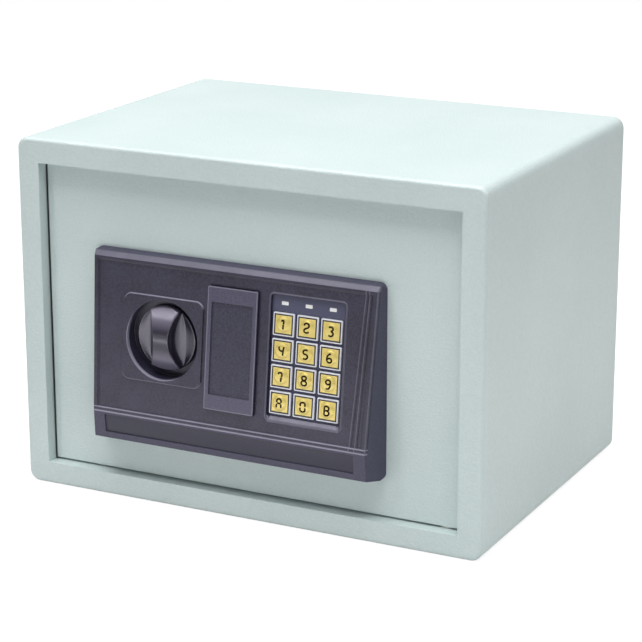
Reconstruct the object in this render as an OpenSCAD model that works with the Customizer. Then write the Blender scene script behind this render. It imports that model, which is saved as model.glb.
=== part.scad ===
// Steel safe deposit box: recessed door, tilted control panel with knob and keypad, two locking bolts.
// Millimetres. Origin: middle of the underside. X to the right, Y to the back, Z up.

/* [Cabinet] */
// Width of the cabinet
body_w = 350; // [330:1:420]
// Height of the cabinet
body_h = 250; // [245:1:320]
// Depth of the cabinet
body_d = 250; // [230:1:400]
// Thickness of the cabinet sheet
sheet = 2; // [1.5:0.1:3]
// Width of the front frame at the sides and the top
frame_w = 17; // [14:0.5:24]
// Height of the front frame under the door
sill_h = 16; // [14:0.5:24]
// Outer radius of the folded front-to-back edges
side_round = 8; // [5:0.5:12]
// Radius round the front face
front_round = 2.5; // [1.5:0.1:4]
// Radius round the back panel
back_round = 1.4; // [0.8:0.1:1.4]
// Thickness of the mat on the floor
mat_t = 1.5; // [1:0.1:3]
// Radius of an anchor hole
anchor_r = 5; // [3:0.5:7]
// Distance between the two anchor holes in the floor, and in the back
anchor_pitch = 180; // [100:5:240]
// Height of the back's anchor holes above the underside
back_anchor_z = 140; // [80:5:180]

/* [Door] */
// How far the door lies behind the front
door_recess = 9; // [5:0.5:12]
// Thickness of the door plate
door_t = 4; // [3:0.5:6]
// Gap round the door at the left, the top and the bottom
door_gap = 1.5; // [1:0.1:2]
// Gap at the hinge side
hinge_gap = 3; // [2.5:0.1:4]
// Hinge axis, in from the door's right edge
hinge_in = 9; // [8:0.5:12]
// Hinge axis, behind the door plate
hinge_back = 3; // [2.5:0.1:4]
// Radius of a hinge pin
hinge_pin_r = 2.5; // [2:0.1:2.5]
// Height of a hinge block
hinge_block_h = 22; // [16:1:30]
// Width of a door stop
stop_w = 6; // [4:0.5:8]

/* [Control panel] */
// Left edge of the panel, from the middle of the cabinet
panel_left = -117; // [-120:0.5:-112]
// Width of the panel
panel_w = 219.5; // [216:0.5:226]
// How far the panel's middle lies under the cabinet's middle
panel_drop = 14.7; // [8:0.1:20]
// Height of the panel
panel_h = 135.6; // [130:0.1:142]
// How far the panel's top edge stands out from the door
panel_top_out = 8.6; // [8:0.1:12]
// How far the panel's step stands out from the door
panel_step_out = 21.2; // [19:0.1:26]
// How far the chin's lower edge stands out from the door
panel_chin_out = 19.4; // [15:0.1:20]
// Height of the chin below the step
chin_h = 23.5; // [22:0.5:30]
// Draft of the panel's sides: millimetres drawn in for each one out
draft = 0.28; // [0.1:0.01:0.35]
// Wall of the panel moulding
panel_wall = 3; // [2.5:0.1:3.5]
// Corner radius of the panel
panel_corner = 5; // [3:0.5:8]
// Width of the rim round the face
rim_w = 2.8; // [1.5:0.1:4]
// Chamfer along the panel's top edge
top_chamfer = 2.2; // [1:0.1:3]
// Depth of the face inside the rim
face_sunk = 1.1; // [0.6:0.1:1.4]

/* [Knob and bolts] */
// Knob axis, from the middle of the cabinet
knob_x = -59; // [-61:0.5:-57]
// Radius of the knob
knob_r = 22.8; // [20:0.2:24]
// Gap round the knob in its well
knob_gap = 4.8; // [2:0.1:6]
// Depth of the knob's well, behind the face
well_depth = 10; // [5:0.1:11]
// How far the knob's dome stands out of the well floor
knob_rise = 12.5; // [9:0.1:14]
// Thickness of the grip at its waist
grip_t = 12; // [9:0.5:14]
// Turn of the knob from open to locked
knob_turn = 60; // [50:1:70]
// Radius of a locking bolt
bolt_r = 8; // [6:0.5:9]
// Distance between the bolts
bolt_pitch = 96; // [88:1:110]
// How far the bolts travel
bolt_throw = 14; // [12:0.5:15]
// Thickness of the carriage plate
carriage_t = 3; // [2:0.2:3]

/* [Override lock and cover] */
// Lock axis and middle of its cover, from the middle of the cabinet
lock_x = -5.4; // [-7:0.1:-4]
// Radius of the lock barrel
barrel_r = 9.5; // [8:0.1:10]
// Width of the cover over the lock
cover_w = 37.5; // [34:0.5:39]
// Height of the cover over the lock
cover_h = 84; // [80:0.5:86]
// Thickness of the cover over the lock
cover_t = 3; // [1.6:0.1:3.4]
// How far the blocking plunger falls into the carriage's notch when the bolts are out
plunger_drop = 5; // [4:0.2:6]
// How far the coil can draw the plunger up from the carriage
plunger_lift = 3; // [1:0.5:5]

/* [Keypad] */
// Middle of the keypad, from the middle of the cabinet
keypad_x = 49.8; // [48:0.1:54]
// Width of the keypad pocket
pocket_w = 54.5; // [53:0.5:58]
// Height of the keypad pocket
pocket_h = 82; // [80.5:0.5:84]
// Width and height of a key
key_w = 15.6; // [14:0.1:16]
// Distance between keys
key_pitch = 17.65; // [17.2:0.05:18]
// How far a key travels
key_travel = 0.8; // [0.4:0.1:1]

/* [Inner side of the door] */
// Depth of the inner cover
inner_d = 36; // [34:0.5:40]
// Thickness of the inner cover's sheet
inner_sheet = 1.2; // [0.8:0.1:1.5]
// Diameter of a battery cell
cell_d = 14.5; // [14:0.1:15]
// Length of a battery cell
cell_l = 50.5; // [44:0.5:51]
// How far the reset button travels
reset_travel = 2; // [1:0.5:3]

/* [Hidden] */
$fn = 64;
cut = 1;             // how far a cutter runs past what it cuts
seat = 0.3;          // gap between pieces that move past each other
run_fit = 0.05;      // radial clearance of a shaft in its bore

// Planes across the depth
front_y = -body_d / 2;
back_y = body_d / 2;
door_front_y = front_y + door_recess;
door_back_y = door_front_y + door_t;
inner_back_y = door_back_y + inner_d;

// The opening and the door in it
open_left = -body_w / 2 + frame_w;
open_right = body_w / 2 - frame_w;
open_top = body_h - frame_w;
door_left = open_left + door_gap;
door_right = open_right - hinge_gap;
door_bottom = sill_h + door_gap;
door_top = open_top - door_gap;
hinge_x = door_right - hinge_in;
hinge_y = door_back_y + hinge_back;
hinge_block_t = 8;
bush_wall = 1.5;
bush_r_out = hinge_pin_r + run_fit + bush_wall;
jamb_d = hinge_y + bush_r_out + 2 - front_y;

// The tilted face of the panel: fx(v, w) runs v down the slope from its top edge and w outwards
panel_z = body_h / 2 - panel_drop - panel_h / 2;
panel_right = panel_left + panel_w;
panel_top = panel_z + panel_h;
face_top_y = door_front_y - panel_top_out;
face_top_z = panel_top - draft * panel_top_out;
chin_top_y = door_front_y - panel_step_out;
chin_top_z = panel_z + chin_h;
chin_bottom_y = door_front_y - panel_chin_out;
chin_bottom_z = panel_z + 0.75 * draft * panel_chin_out;
tilt = atan((face_top_y - chin_top_y) / (face_top_z - chin_top_z));
face_l = (face_top_z - chin_top_z) / cos(tilt);
chin_tilt = atan((chin_bottom_y - chin_top_y) / (chin_top_z - chin_bottom_z));
chin_l = (chin_top_z - chin_bottom_z) / cos(chin_tilt);
face_floor = -face_sunk;
rib_h = 0.55;

// The knob and the mechanism behind it
knob_v = 54.9;
knob_z = face_top_z - knob_v * cos(tilt);
knob_face_y = face_top_y - knob_v * sin(tilt);
well_floor_y = knob_face_y + well_depth;
well_r = knob_r + knob_gap;
bezel_w = 62;
bezel_h = 59.6;
bezel_round = 6;
shaft_r = 5;
bush_r = 7.5;
crank_t = 4;
crank_front_y = door_back_y + seat;
crank_back_y = crank_front_y + crank_t;
crank_pin_r = 3;
crank_r = bolt_throw / (2 * sin(knob_turn / 2));
crank_x = knob_x + bolt_throw / 2;
scoop_r = 38;
scoop_draft = 7;
crank_pin_z = knob_z + crank_r * cos(knob_turn / 2);
slot_gap = 0.3;
carriage_y = crank_back_y + seat;
carriage_back_y = carriage_y + carriage_t;
strike_gap = 1;
bolt_y = front_y + jamb_d + 2 + bolt_r + strike_gap;
bolt_low_z = knob_z - bolt_pitch / 2;
bolt_high_z = knob_z + bolt_pitch / 2;
bolt_tip_x = door_left + 2;
guide_t = 3;
guide_x = door_left + 10;
flange_x = guide_x + guide_t + bolt_throw + 15;
rivet_r = 4;
stud_r = 4;
stud_head_r = 7;
stud_x = flange_x + 25;
stud_dz = 16;
arm_h = 10;
arm_z = knob_z + stud_dz;
arm_top = arm_z + arm_h;
arm_end = lock_x + bolt_throw + 10;

// The override lock, its cam and the plunger above it
lock_z = knob_z;
plug_r = 6;
barrel_front_y = knob_face_y + 4;
barrel_back_y = door_back_y + 12;
barrel_flange_t = 2;
nut_t = 4.5;
spindle_r = 3.5;
cam_t = 5;
cam_y = barrel_back_y + seat;
cam_r = 7;
cam_gap = 0.5;
cam_lobe_r = cam_r + cam_gap + plunger_drop - run_fit;
plunger_y = cam_y + cam_t / 2;
plunger_r = 4;
foot_r = 2;
foot_z = lock_z + cam_r + cam_gap + plunger_drop + foot_r;
tab_t = 4;
tab_z = arm_top + seat;
collar_top = tab_z + tab_t + 2;
spring_l = 12;
coil_bottom = collar_top + spring_l + sheet;
coil_h = 28;
coil_r = 12;
spring_wire = 0.8;
spring_r = plunger_r + 1.3;
spring_turns = 6;

// The keypad, layered down from the face
pocket_v = 12.7;
pocket_floor = face_floor - 2.4;
plate_t = 1;
plate_top = pocket_floor + plate_t;
ledge = 2;
shelf_t = 2;
key_top = plate_top + 1.2;
key_bottom = plate_top - plate_t - seat / 3 - 0.8;
key_flange = 0.5;
mat_top = pocket_floor - shelf_t;
contact_t = 1.4;
board_t = 1.4;
board_top = mat_top - contact_t;
board_margin = 5;
row_v = 32.3;
led_v = 18.2;
led_w = 5;
led_h = 2.4;
keys = [["1", 0, 0], ["2", 1, 0], ["3", 2, 0], ["4", 0, 1], ["5", 1, 1], ["6", 2, 1],
    ["7", 0, 2], ["8", 1, 2], ["9", 2, 2], ["a", 0, 3], ["0", 1, 3], ["b", 2, 3]];

// The inner cover and what it carries
inner_left = guide_x + guide_t + 2;
inner_right = hinge_x - 18;
inner_bottom = door_bottom + 16;
inner_top = door_top - 16;
inner_round = 4;
post_in = 10;
post_r = 4;
battery_x = inner_right - 64;
battery_z = 96;
box_wall = 1.6;
box_w = 4 * cell_d + 5 + 2 * box_wall;
box_h = cell_l + 3 + 2 * box_wall;
box_d = cell_d + 2 * box_wall + 1;
box_flange = 4;
lid_t = 2;
reset_x = inner_right - 26;
reset_z = inner_top - 40;
reset_r = 3.5;
hole_gap = 0.4;
screw_r = 1.5;
screw_head_r = 3.4;
screw_head_t = 1.8;
panel_screw_in = 12;

paint = "#c6d8d6";
moulding = "#494856";
knob_black = "#26262c";
gold = "#d8c878";
navy = "#33365a";
steel = "#a9adb1";
zinc = "#c9c6b4";
brass = "#b9975a";
copper = "#a8623c";
board_green = "#2f6b45";
nylon = "#e8e6dc";
red = "#c23a32";
felt = "#3b3d42";

// Flat rectangle with round corners, in the middle of its own axes
module round_rect(w, h, r) {
    square([w - 2 * r, h], center = true);
    square([w, h - 2 * r], center = true);
    for (x = [-1, 1], y = [-1, 1])
        translate([x * (w / 2 - r), y * (h / 2 - r)]) circle(r);
}

// Block with round corners, standing on Z = 0
module round_block(w, h, r, t) {
    linear_extrude(t) round_rect(w, h, r);
}

// Cross-section of a slab, its lower edges eased
module eased_section(w, ease, t) {
    intersection() {
        union() {
            translate([-w / 2 + ease, 0]) square([w - 2 * ease, t]);
            translate([-w / 2, ease]) square([w, t]);
            for (s = [-1, 1]) translate([s * (w / 2 - ease), ease]) circle(ease);
        }
        translate([-w / 2, 0]) square([w, t]);
    }
}

// Slab with round corners whose lower face is eased all round
module eased_slab(w, h, r, ease, t) {
    rotate([90, 0, 0]) linear_extrude(h - 2 * r, center = true) eased_section(w, ease, t);
    rotate([90, 0, 90]) linear_extrude(w - 2 * r, center = true) eased_section(h, ease, t);
    for (x = [-1, 1], y = [-1, 1])
        translate([x * (w / 2 - r), y * (h / 2 - r)]) rotate_extrude() intersection() {
            eased_section(2 * r, ease, t);
            square([r, t]);
        }
}

// Puts children on a plane facing the front: X across, Y up, Z towards the viewer
module facing(x, y, z) {
    translate([x, y, z]) rotate([90, 0, 0]) children();
}

// Puts children on a plane facing the back: X across, Y down, Z towards the back
module facing_back(x, y, z) {
    translate([x, y, z]) rotate([-90, 0, 0]) children();
}

// Puts children on the tilted face: v down the slope, w out of the face
module on_face(x, v, w) {
    translate([0, face_top_y, face_top_z]) rotate([90 - tilt, 0, 0]) translate([x, -v, w]) children();
}

// Straight rod along Y between two planes
module rod_y(x, z, y0, y1, r) {
    facing_back(x, y0, z) cylinder(h = y1 - y0, r = r);
}

// Rod along X between two planes
module rod_x(x0, x1, y, z, r) {
    translate([x0, y, z]) rotate([0, 90, 0]) cylinder(h = x1 - x0, r = r);
}

// Slot through the depth, with round ends
module slot_y(x0, z0, x1, z1, y0, y1, r) {
    rod_y(x0, z0, y0, y1, r);
    rod_y(x1, z1, y0, y1, r);
    translate([min(x0, x1) - (x0 == x1 ? r : 0), y0, min(z0, z1) - (z0 == z1 ? r : 0)])
        cube([abs(x1 - x0) + (x0 == x1 ? 2 * r : 0), y1 - y0, abs(z1 - z0) + (z0 == z1 ? 2 * r : 0)]);
}

// Rectangular block given by its two corners
module block(x0, y0, z0, x1, y1, z1) {
    translate([x0, y0, z0]) cube([x1 - x0, y1 - y0, z1 - z0]);
}

// ---- Cabinet ----

// Top, bottom, sides and front frame, folded and welded
module body_shell() {
    inner_h = body_h - 2 * sheet;
    color(paint) difference() {
        union() {
            difference() {
                facing_back(0, front_y, body_h / 2)
                    eased_slab(body_w, body_h, side_round, front_round, body_d - sheet);
                facing_back(0, front_y + sheet, body_h / 2)
                    round_block(body_w - 2 * sheet, inner_h, side_round - sheet, body_d);
            }
            block(open_left - sheet, front_y + sheet / 2, sill_h - sheet,
                open_right + sheet, front_y + jamb_d, open_top + sheet);
        }
        block(open_left, front_y - cut, sill_h, open_right, front_y + jamb_d + cut, open_top);
        for (z = [sill_h, open_top])
            translate([hinge_x, hinge_y, z]) cylinder(h = 4 * sheet, r = bush_r_out, center = true);
        for (s = [-1, 1])
            translate([s * anchor_pitch / 2, 0, -cut]) cylinder(h = sheet + 2 * cut, r = anchor_r);
    }
}

// Back plate, welded on and ground flush
module back_panel() {
    color(paint) difference() {
        facing(0, back_y, body_h / 2) eased_slab(body_w, body_h, side_round, back_round, sheet);
        for (s = [-1, 1])
            rod_y(s * anchor_pitch / 2, back_anchor_z, back_y - sheet - cut, back_y + cut, anchor_r);
    }
}

// Felt mat on the floor, with holes over the anchor holes
module floor_mat() {
    half_w = body_w / 2 - side_round - 0.5;
    color(felt) difference() {
        block(-half_w, front_y + jamb_d + 2, sheet, half_w, back_y - sheet - 2, sheet + mat_t);
        for (s = [-1, 1])
            translate([s * anchor_pitch / 2, 0, 0]) cylinder(h = sheet + mat_t + cut, r = anchor_r + 1);
    }
}

// Two bars that the closed door rests against
module door_stops() {
    stop_y = door_back_y + seat;
    color(paint) for (z = [sill_h, open_top - stop_w])
        block(door_left + 6, stop_y, z, hinge_x - 20, stop_y + sheet, z + stop_w);
}

// Angle behind the left jamb, with the holes that take the bolts
module strike_angle() {
    hole_half = bolt_r + strike_gap;
    back = bolt_y + bolt_r + 7;
    wall_x = -body_w / 2 + sheet;
    low = bolt_low_z - 30;
    high = bolt_high_z + 30;
    color(paint) difference() {
        union() {
            block(open_left - sheet, front_y + jamb_d, low, open_left, back, high);
            block(wall_x, back - sheet, low, open_left - sheet, back, high);
        }
        for (z = [bolt_low_z, bolt_high_z])
            block(open_left - sheet - cut, bolt_y - hole_half, z - hole_half,
                open_left + cut, bolt_y + hole_half, z + hole_half);
    }
}

// Flanged bushes in the upper and lower jambs
module hinge_bushes() {
    flange_t = door_gap - seat;
    color(nylon) for (end = [[sill_h, 1], [open_top, 0]])
        translate([hinge_x, hinge_y, end[0]]) mirror([0, 0, end[1]]) difference() {
            union() {
                cylinder(h = sheet, r = bush_r_out);
                translate([0, 0, -flange_t]) cylinder(h = flange_t, r = bush_r_out + 2);
            }
            translate([0, 0, -flange_t - cut])
                cylinder(h = flange_t + sheet + 2 * cut, r = hinge_pin_r + run_fit);
        }
}

// ---- Door ----

// Places children at the four screws that hold the panel
module at_panel_screws() {
    for (x = [panel_left + panel_screw_in, panel_right - panel_screw_in],
         z = [panel_z + panel_screw_in, panel_top - panel_screw_in])
        translate([x, 0, z]) children();
}

// Door plate
module door_plate() {
    cable_r = 9;
    cable_z = panel_z + 40;
    color(paint) difference() {
        block(door_left, door_front_y, door_bottom, door_right, door_back_y, door_top);
        rod_y(knob_x, knob_z, door_front_y - cut, door_back_y + cut, bush_r);
        rod_y(lock_x, lock_z, door_front_y - cut, door_back_y + cut, barrel_r);
        rod_y(keypad_x, cable_z, door_front_y - cut, door_back_y + cut, cable_r);
        at_panel_screws() rod_y(0, 0, door_front_y - cut, door_back_y + cut, screw_r + 0.3);
    }
}

// Blocks welded behind the door plate, which hold the hinge pins
module hinge_blocks() {
    half_w = 7;
    color(steel) for (z = [door_bottom, door_top - hinge_block_h]) difference() {
        block(hinge_x - half_w, door_back_y, z, hinge_x + half_w, door_back_y + hinge_block_t,
            z + hinge_block_h);
        translate([hinge_x, hinge_y, z - cut]) cylinder(h = hinge_block_h + 2 * cut, r = hinge_pin_r);
    }
}

// Pins pressed into the hinge blocks, which turn in the bushes
module hinge_pins() {
    pin_l = hinge_block_h + door_gap + sheet + 1;
    color(steel) {
        translate([hinge_x, hinge_y, door_bottom + hinge_block_h - pin_l])
            cylinder(h = pin_l, r = hinge_pin_r);
        translate([hinge_x, hinge_y, door_top - hinge_block_h]) cylinder(h = pin_l, r = hinge_pin_r);
    }
}

// Drafted wedge of the control panel, drawn in by an inset; its back runs past the door by a margin
module panel_wedge(inset, past) {
    base_y = door_front_y + past;
    reach = panel_step_out + 10;
    middle_x = (panel_left + panel_right) / 2;
    bevel = top_chamfer;
    intersection() {
        translate([panel_left - cut, 0, 0]) rotate([90, 0, 90]) linear_extrude(panel_w + 2 * cut)
            polygon([
                [base_y, panel_z + inset],
                [base_y, panel_top - inset],
                [face_top_y + bevel + inset, face_top_z + draft * bevel - inset],
                [face_top_y - bevel * sin(tilt) + inset, face_top_z - bevel * cos(tilt) - inset],
                [chin_top_y + inset, chin_top_z],
                [chin_bottom_y + inset, chin_bottom_z + inset]
            ]);
        translate([0, 0, panel_z - cut]) linear_extrude(panel_h + 2 * cut)
            polygon([
                [panel_left + inset, base_y],
                [panel_left + inset + draft * reach, door_front_y - reach],
                [panel_right - inset - draft * reach, door_front_y - reach],
                [panel_right - inset, base_y]
            ]);
        facing(middle_x, base_y, panel_z + panel_h / 2)
            round_block(panel_w - 2 * inset, panel_h - 2 * inset, panel_corner - inset / 2, reach + past);
    }
}

// How far the panel's sides are drawn in at a point down the face
function side_in(v) = draft * (panel_top_out + v * sin(tilt));

// Outline of the face, drawn in from its edges
module face_outline(inset) {
    top_v = inset + top_chamfer - 0.8;
    low_v = face_l - inset;
    polygon([
        [panel_left + side_in(top_v) + inset, -top_v],
        [panel_right - side_in(top_v) - inset, -top_v],
        [panel_right - side_in(low_v) - inset, -low_v],
        [panel_left + side_in(low_v) + inset, -low_v]
    ]);
}

// Fine rib down the right of the face, set in from the edge by one distance at its top and another at its foot
module face_rib(top_in, low_in) {
    rib_w = 1.1;
    top_v = rim_w + top_chamfer;
    low_v = face_l - rim_w - 0.4;
    x0 = panel_right - side_in(top_v) - top_in;
    x1 = panel_right - side_in(low_v) - low_in;
    on_face(0, 0, face_floor - 0.5) linear_extrude(0.5 + rib_h)
        polygon([[x0, -top_v], [x0 + rib_w, -top_v], [x1 + rib_w, -low_v], [x1, -low_v]]);
}

// Puts children on the chin: v down from the step, w out of the chin
module on_chin(x, v, w) {
    translate([0, chin_top_y, chin_top_z]) rotate([90 + chin_tilt, 0, 0]) translate([x, -v, w]) children();
}

// Places children at the four screws of the circuit board
module at_board_screws(w) {
    for (x = [-1, 1], y = [-1, 1])
        on_face(keypad_x + x * (pocket_w / 2 + board_margin - 2.6),
            pocket_v + pocket_h / 2 + y * (pocket_h / 2 + board_margin - 2.6), w) children();
}

// Moulded housing of the control panel
module panel_housing() {
    chin_margin = 8.5;
    chin_top = 2;
    chin_sunk = 0.9;
    chin_recess_l = chin_l - chin_top - 4.5;
    chin_side = draft * panel_step_out;
    cover_v = pocket_v + cover_h / 2;
    keypad_v = pocket_v + pocket_h / 2;
    front = chin_top_y - cut;
    through = 20;
    lip_w = 1;
    lip_h = 0.5;
    sill = 2.4;
    sill_slope = 38;
    bezel_h_out = 1.1;
    color(moulding) difference() {
        union() {
            difference() {
                union() {
                    difference() {
                        panel_wedge(0, 0);
                        panel_wedge(panel_wall, cut);
                    }
                    intersection() {
                        panel_wedge(0, 0);
                        union() {
                            rod_y(knob_x, knob_z, front, well_floor_y + panel_wall - 0.5, well_r + 2.5);
                            on_face(keypad_x, keypad_v, pocket_floor - shelf_t)
                                round_block(pocket_w + 2 * panel_wall, pocket_h + 2 * panel_wall, 2, 4);
                            at_panel_screws() rod_y(0, 0, front, door_front_y, 4);
                            at_board_screws(board_top) cylinder(h = -board_top + face_floor, r = 2.2);
                        }
                    }
                }
                on_face(0, 0, -face_sunk / 2) linear_extrude(through) face_outline(rim_w);
                on_face(0, 0, face_floor) linear_extrude(through) face_outline(rim_w + 0.8);
            }
            face_rib(8, 11.5);
            face_rib(5.4, 7.4);
            on_face(knob_x, knob_v, face_floor - 0.5)
                round_block(bezel_w, bezel_h, bezel_round, 0.5 + bezel_h_out);
            on_face(keypad_x, keypad_v + sill / 2, face_floor - 0.5)
                round_block(pocket_w + 2 * lip_w, pocket_h + 2 * lip_w + sill, 3, 0.5 + lip_h);
        }
        rod_y(knob_x, knob_z, front, well_floor_y, well_r);
        rod_y(knob_x, knob_z, front, door_front_y, shaft_r + hole_gap);
        rod_y(lock_x, lock_z, front, door_front_y, barrel_r + 1);
        on_face(lock_x, cover_v, face_floor - 0.6) round_block(cover_w + 0.4, cover_h + 0.4, 1, through);
        for (x = [-1, 1], y = [-1, 1])
            on_face(lock_x + x * (cover_w / 2 - 5), cover_v + y * (cover_h / 2 - 6), face_floor - 8)
                cylinder(h = 10, r = 2.1);
        on_face(keypad_x, keypad_v, pocket_floor) round_block(pocket_w, pocket_h, 2.2, through);
        on_face(keypad_x, keypad_v + pocket_h / 2, pocket_floor + 1) rotate([90 - sill_slope, 0, 0])
            translate([2 - pocket_w / 2, 0, 0]) cube([pocket_w - 4, 2 * sill, 2 * sill]);
        on_face(keypad_x, keypad_v, pocket_floor - shelf_t - cut)
            round_block(pocket_w - ledge, pocket_h - ledge, 0.8, through);
        at_board_screws(board_top - cut) cylinder(h = 5 + cut, r = 1);
        at_panel_screws() rod_y(0, 0, door_front_y - 6, door_front_y + cut, screw_r);
        on_chin(panel_left + chin_side + chin_margin, chin_top + chin_recess_l, -chin_sunk)
            cube([panel_w - 2 * chin_side - 2 * chin_margin, chin_recess_l, through]);
    }
}

// Screws from behind the door into the housing
module panel_screws() {
    color(zinc) at_panel_screws() {
        rod_y(0, 0, door_front_y - 5, door_back_y, screw_r);
        rod_y(0, 0, door_back_y, door_back_y + screw_head_t, screw_head_r);
    }
}

// Places children at a key, given its column and row
module at_key(column, row, w) {
    on_face(keypad_x + (column - 1) * key_pitch, row_v + row * key_pitch, w) children();
}

// Printed plate round the keys, with three windows above them
module keypad_plate() {
    window = key_w + seat;
    color(navy) difference() {
        on_face(keypad_x, pocket_v + pocket_h / 2, pocket_floor)
            round_block(pocket_w - 0.4, pocket_h - 0.4, 2, plate_t);
        for (k = keys)
            at_key(k[1], k[2], pocket_floor - cut) round_block(window, window, 0.8, plate_t + 2 * cut);
        for (column = [-1, 0, 1])
            on_face(keypad_x + column * key_pitch, led_v, pocket_floor - cut)
                round_block(led_w, led_h, 0.4, plate_t + 2 * cut);
    }
}

// Lenses of the three signal lamps
module led_lenses() {
    color("white") for (column = [-1, 0, 1])
        on_face(keypad_x + column * key_pitch, led_v, pocket_floor)
            round_block(led_w, led_h, 0.4, plate_t + 0.15);
}

// One key: a flange under the plate and a cap with eased edges
module key_cap(column, row) {
    flange_t = 0.8;
    ease = 0.35;
    color(gold) at_key(column, row, key_bottom) {
        round_block(key_w + 2 * key_flange, key_w + 2 * key_flange, 0.8, flange_t);
        round_block(key_w, key_w, 0.7, key_top - key_bottom - ease);
        round_block(key_w - 2 * ease, key_w - 2 * ease, 0.5, key_top - key_bottom);
    }
}

// Rubber contact sheet between the keys and the board
module contact_mat() {
    dome_r = 4.5;
    dome_t = key_bottom - mat_top - key_travel - 0.1;
    color("#55565c") {
        on_face(keypad_x, pocket_v + pocket_h / 2, board_top)
            round_block(pocket_w - ledge + 1.5, pocket_h - ledge + 1.5, 1, contact_t);
        for (k = keys) at_key(k[1], k[2], board_top) cylinder(h = contact_t + dome_t, r = dome_r);
    }
}

// Circuit board behind the keypad
module circuit_board() {
    color(board_green) difference() {
        on_face(keypad_x, pocket_v + pocket_h / 2, board_top - board_t)
            round_block(pocket_w + 2 * board_margin, pocket_h + 2 * board_margin, 2, board_t);
        at_board_screws(board_top - board_t - cut) cylinder(h = board_t + 2 * cut, r = 1.2);
    }
}

// Screws through the board into the housing
module board_screws() {
    color(zinc) {
        at_board_screws(board_top - board_t) cylinder(h = board_t + 4, r = 1);
        at_board_screws(board_top - board_t - 0.8) cylinder(h = 0.8, r = 2);
    }
}

// Buzzer on the back of the board
module buzzer() {
    h = 3.5;
    color("#202024") on_face(keypad_x - 14, row_v + 2.6 * key_pitch, board_top - board_t - h)
        cylinder(h = h, r = 6);
}

// ---- Knob and bolt mechanism ----

// Flanged bush in the door plate for the knob's shaft
module knob_bush() {
    flange_t = 1.2;
    color(nylon) difference() {
        union() {
            rod_y(knob_x, knob_z, door_front_y, door_back_y, bush_r);
            rod_y(knob_x, knob_z, door_front_y - flange_t, door_front_y, bush_r + 2.5);
        }
        rod_y(knob_x, knob_z, door_front_y - flange_t - cut, door_back_y + cut, shaft_r + run_fit);
    }
}

// Cutter for one hollow beside the grip: drafted wall with a round fillet at its floor
module grip_scoop(side) {
    fillet = 4;
    floor_y = well_floor_y - seat - 2.4;
    x = knob_x + side * (grip_t / 2 + scoop_r);
    floor_r = scoop_r - scoop_draft;
    front_y = well_floor_y - seat - knob_rise - cut;
    facing_back(x, front_y, knob_z) cylinder(h = floor_y - fillet - front_y, r1 = scoop_r, r2 = floor_r);
    rod_y(x, knob_z, front_y, floor_y, floor_r - fillet);
    facing(x, floor_y - fillet, knob_z) rotate_extrude() translate([floor_r - fillet, 0]) circle(fillet);
}

// Domed knob with an upright grip between two hollows
module knob() {
    knob_back_y = well_floor_y - seat;
    dome = knob_rise - 3;
    dome_r = (knob_r * knob_r + dome * dome) / (2 * dome);
    spigot_r = 3.5;
    color(knob_black) difference() {
        intersection() {
            rod_y(knob_x, knob_z, knob_back_y - knob_rise - cut, knob_back_y, knob_r);
            translate([knob_x, knob_back_y - knob_rise + dome_r, knob_z]) sphere(dome_r);
        }
        for (side = [-1, 1]) grip_scoop(side);
        rod_y(knob_x, knob_z, knob_back_y - 6, knob_back_y + cut, spigot_r);
    }
}

// Shaft from the knob to the crank
module knob_shaft() {
    knob_back_y = well_floor_y - seat;
    color(steel) {
        rod_y(knob_x, knob_z, knob_back_y - 6, knob_back_y, 3.5);
        rod_y(knob_x, knob_z, knob_back_y, crank_back_y, shaft_r);
    }
}

// Crank on the shaft's end, whose pin drives the carriage
module knob_crank() {
    hub_r = 9;
    arm_r = 6;
    color(steel) difference() {
        union() {
            rod_y(knob_x, knob_z, crank_front_y, crank_back_y, hub_r);
            translate([knob_x, 0, knob_z]) rotate([0, knob_turn / 2, 0]) {
                block(-arm_r, crank_front_y, 0, arm_r, crank_back_y, crank_r);
                rod_y(0, crank_r, crank_front_y, crank_back_y, arm_r);
                rod_y(0, crank_r, crank_front_y, carriage_back_y + 1.2, crank_pin_r);
            }
        }
        rod_y(knob_x, knob_z, crank_front_y - cut, crank_back_y + cut, shaft_r);
    }
}

// Shouldered studs that the carriage slides on
module guide_studs() {
    color(zinc) for (z = [knob_z - stud_dz, knob_z + stud_dz]) {
        rod_y(stud_x, z, door_back_y, carriage_y - seat, stud_head_r);
        rod_y(stud_x, z, carriage_y - seat, carriage_back_y + seat, stud_r);
        rod_y(stud_x, z, carriage_back_y + seat, carriage_back_y + seat + 2, stud_head_r);
    }
}

// Angle welded behind the door's edge, with the bores that the bolts run in
module bolt_guide() {
    foot_w = 9;
    low = bolt_low_z - 16;
    high = bolt_high_z + 16;
    color(steel) difference() {
        union() {
            block(guide_x, door_back_y, low, guide_x + guide_t, bolt_y + bolt_r + 4, high);
            block(guide_x - foot_w, door_back_y, low, guide_x, door_back_y + guide_t, high);
        }
        for (z = [bolt_low_z, bolt_high_z])
            rod_x(guide_x - cut, guide_x + guide_t + cut, bolt_y, z, bolt_r + run_fit);
    }
}

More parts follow.
